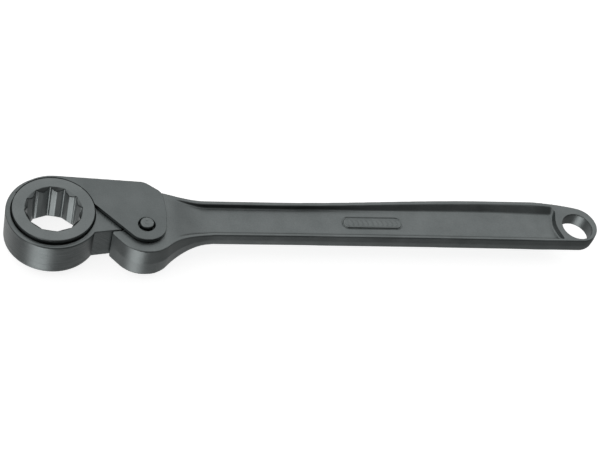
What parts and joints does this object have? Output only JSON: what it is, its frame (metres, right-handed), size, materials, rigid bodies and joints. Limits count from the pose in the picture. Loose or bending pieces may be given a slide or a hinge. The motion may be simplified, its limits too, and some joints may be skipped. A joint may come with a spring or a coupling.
{
  "type": "friction ratchet ring wrench",
  "caption": "Friction ratchet ring wrench: twelve-point ring in a clamp collar, side plates with a pivot pin, and a forged handle with a hanging hole.",
  "frame": {"origin": "middle of the tool's footprint at the level of the lower pin end, on which the tool rests", "axes": "+X from the ring to the hanging hole, +Z along the ring's axis, +Y towards the straight side of the head"},
  "size_m": [0.3992, 0.0598, 0.032],
  "materials": {
    "forged_steel": "drop-forged steel with a dark grey phosphate coating",
    "plate_steel": "blanked steel plate with a dark grey phosphate coating",
    "turned_steel": "turned steel with a dark grey phosphate coating",
    "pin_steel": "ground and lightly coated steel",
    "spring_steel": "oiled spring steel"
  },
  "bodies": {
    "handle": {"handle": "forged_steel", "plunger_spring": "spring_steel"},
    "head": {"clamp_collar": "forged_steel", "cheek_plate_top": "plate_steel", "cheek_plate_bottom": "plate_steel", "pivot_pin": "pin_steel", "dowel_pin_lower": "pin_steel", "dowel_pin_upper": "pin_steel"},
    "ring": {"ring_insert": "turned_steel", "retaining_washer": "turned_steel", "snap_ring": "spring_steel"},
    "plunger": {"plunger": "pin_steel"}
  },
  "joints": [
    {"name": "handle_pivot", "type": "hinge", "parent": "handle", "child": "head", "pos_m": [-0.11485, -0.0099, 0.016], "axis": [0, 0, 1], "range_deg": [-4, 0], "stiffness_Nm_per_rad": 1.5, "springref_deg": 5.73},
    {"name": "ring_spin", "type": "hinge", "parent": "head", "child": "ring", "pos_m": [-0.17085, 0.0011, 0.016], "axis": [0, 0, 1], "continuous": true},
    {"name": "plunger_slide", "type": "slide", "parent": "handle", "child": "plunger", "axis": [1, 0, 0], "range_m": [0, 0.0015], "deforming": ["plunger_spring"]}
  ],
  "couplings": [
    {"joint": "plunger_slide", "follows": "handle_pivot", "m_per_rad": -0.02}
  ]
}
